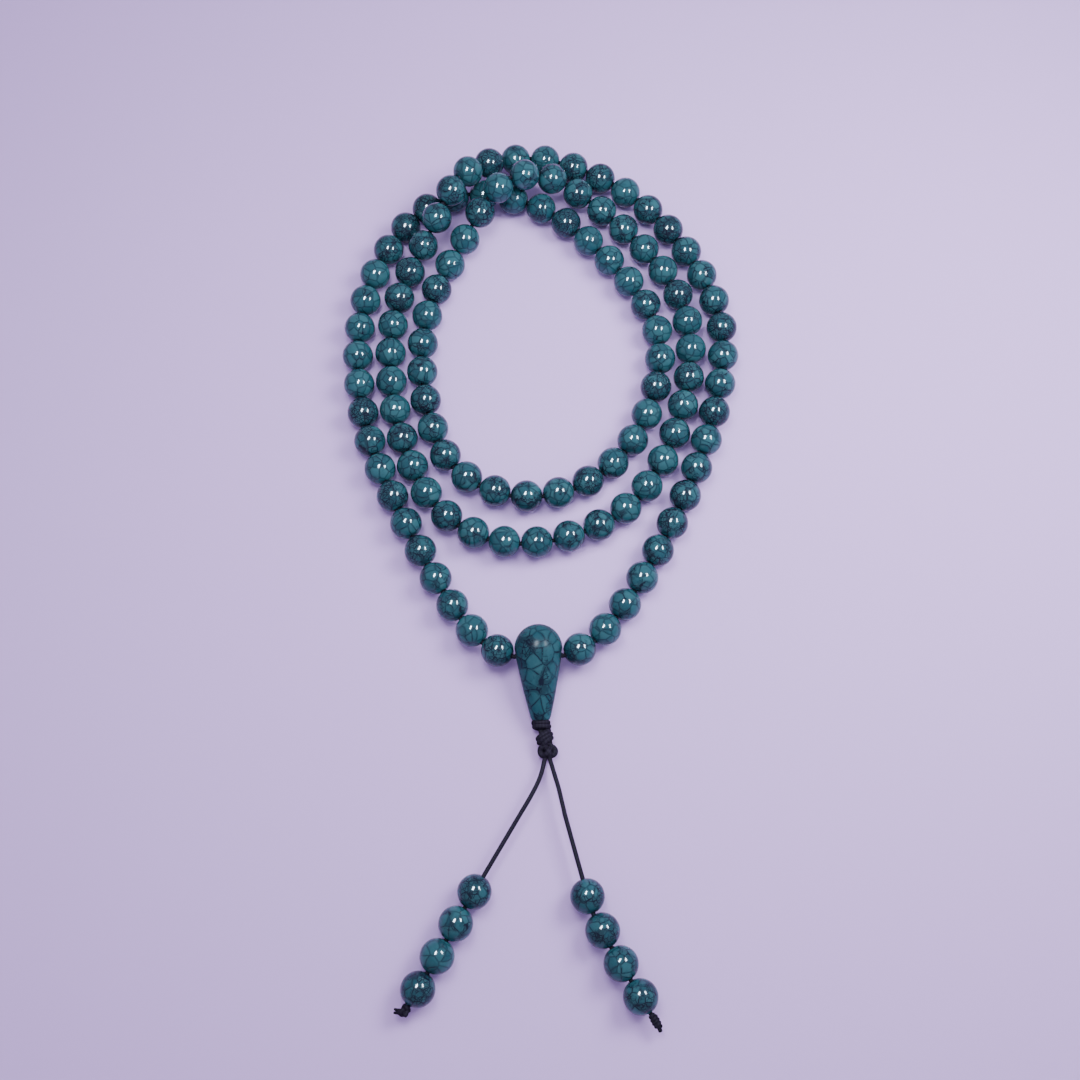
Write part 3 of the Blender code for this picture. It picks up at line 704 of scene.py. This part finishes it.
def barrel(turns, length, radius, start, dip):
    # a long wound knot, leaning down to the floor
    rows = []
    for i in range(24 * turns + 1):
        share = i / (24 * turns)
        angle = 2 * math.pi * turns * share + 0.6
        fat = radius * (0.55 + 0.45 * math.sin(math.pi * min(1.0, max(0.0, 0.12 + 0.76 * share))))
        rows.append((start + length * share, 0.08 + fat * math.cos(angle),
                     fat * math.sin(angle) - dip * share))
    return rows


endKnots = {
    "left": {"paths": [overhand(0.38, 0.58, 0.95)], "scales": [0.95],
             "prongs": [[(1.3, -0.85, -0.25), (1.7, -1.7, -0.6), (1.9, -2.35, -0.9)],
                        [(1.8, -0.75, -0.25), (2.3, -1.5, -0.6), (2.6, -2.0, -0.9)]]},
    "right": {"paths": [[(-0.9, 0.0, 0.0), (0.0, 0.0, 0.0), (1.0, 0.1, -0.1), (2.4, 0.1, -0.5),
                         (3.5, 0.0, -0.9), (4.1, -0.1, -1.2)],
                        barrel(4, 3.1, 0.64, 0.1, 0.9)], "scales": [0.9, 0.82],
              "prongs": []},
}
knotStart = 0.45           # from the last bead to its end knot
prongTaper = (0.75, 0.5)   # a cut end's thickness where it leaves the knot and at its tip


for side, tail in tails.items():
    centres = place([(x, y, strand["beadRadius"]) for x, y in tail["beads"]])
    bare = place(tail["bare"])
    lines = [(centres[0] - bare[-1]).normalized()]
    lines += [(after - before).normalized() for before, after in zip(centres, centres[2:])]
    lines.append((centres[-1] - centres[-2]).normalized())
    through = throughBeads(centres, lines)
    through[-1] = centres[-1] + lines[-1] * (strand["beadRadius"] + knotStart) * mm
    path = [Vector(point) for point in smoothLine(bare, 4)] + through
    cordPath = smoothLine(path, 6)
    cord = layCords(side + "TailCord", [cordPath])
    seat(cord, side + "_tail", "black_cord", side + "_tail_cord")

    look = endKnots[side]
    end, out = through[-1], lines[-1]
    shapes = [knotPath(end, out, smoothLine(shape, 4)) for shape in look["paths"]]
    scales = list(look["scales"])
    for prong in look["prongs"]:
        shapes.append(knotPath(end, out, smoothLine(prong, 4)))
        scales.append(np.linspace(*prongTaper, len(shapes[-1])))
    knot = layCords(side + "EndKnot", shapes, scales=scales, step=0.12)
    seat(knot, side + "_tail", "black_cord", side + "_end_knot")

    for number, (centre, line) in enumerate(zip(centres, lines), start=1):
        bead = stringBeads(f"{side}TailBead{number}", [centre], [line],
                           beadSeeds["tail"] + number + 10 * (side == "left"))
        seat(bead, f"{side}_tail_bead_{number}", "stone_bead", f"{side}_tail_bead_{number}")


# floor and light

studio = {
    "floor": (0.74, 0.54, 1.0), "floorRoughness": 0.9,
    "floorLevel": -0.08, "floorReach": 30.0,   # millimetres below the beads, metres each way
    "ambient": (0.82, 0.72, 1.0), "ambientPower": 0.56,
    "lampColour": (0.93, 0.87, 1.0), "paneColour": (0.72, 0.86, 1.0),
    # two lamps, and the panes that show in the polish in their place: where, width, height, watts
    "lamps": [((-0.035, 0.020, 0.30), 0.13, 0.13, 0.58), ((0.185, 0.050, 0.24), 0.15, 0.15, 1.0)],
    "panes": [((-0.045, -0.012, 0.29), 0.12, 0.045, 7.0), ((0.150, -0.010, 0.225), 0.10, 0.036, 3.0)],
    "middle": (0.0, -0.03, 0.0),
}
low, far = studio["floorLevel"] * mm, studio["floorReach"]
floorMesh = bpy.data.meshes.new("floor")
floorMesh.from_pydata([(-far, -far, low), (far, -far, low), (far, far, low), (-far, far, low)], [],
                      [(0, 1, 2, 3)])
floor = bpy.data.objects.new("floor", floorMesh)
room.objects.link(floor)
paint, _, paintShader = blankFinish("paleFloor")
paintShader.inputs["Base Color"].default_value = (*studio["floor"], 1.0)
paintShader.inputs["Roughness"].default_value = studio["floorRoughness"]
paintShader.inputs["Specular IOR Level"].default_value = 0.0
floorMesh.materials.append(paint)


def hangLight(name, colour, at, width, height, watts):
    light = bpy.data.lights.new(name, "AREA")
    light.shape, light.size, light.size_y = "RECTANGLE", width, height
    light.energy, light.color = watts, colour
    lamp = bpy.data.objects.new(name, light)
    lamp.location = at
    away = Vector(at) - Vector(studio["middle"])
    lamp.rotation_euler = away.to_track_quat("Z", "Y").to_euler()
    lamp.visible_camera = False
    room.objects.link(lamp)
    return lamp


for number, lamp in enumerate(studio["lamps"]):
    hangLight(f"softLamp{number}", studio["lampColour"], *lamp).visible_glossy = False
for number, pane in enumerate(studio["panes"]):
    hangLight(f"pane{number}", studio["paneColour"], *pane).visible_diffuse = False

world = bpy.data.worlds.new("studio")
world.use_nodes = True
sky = world.node_tree.nodes["Background"]
sky.inputs["Color"].default_value = (*studio["ambient"], 1.0)
sky.inputs["Strength"].default_value = studio["ambientPower"]
bpy.context.scene.world = world
print("laid the floor and hung the lights")
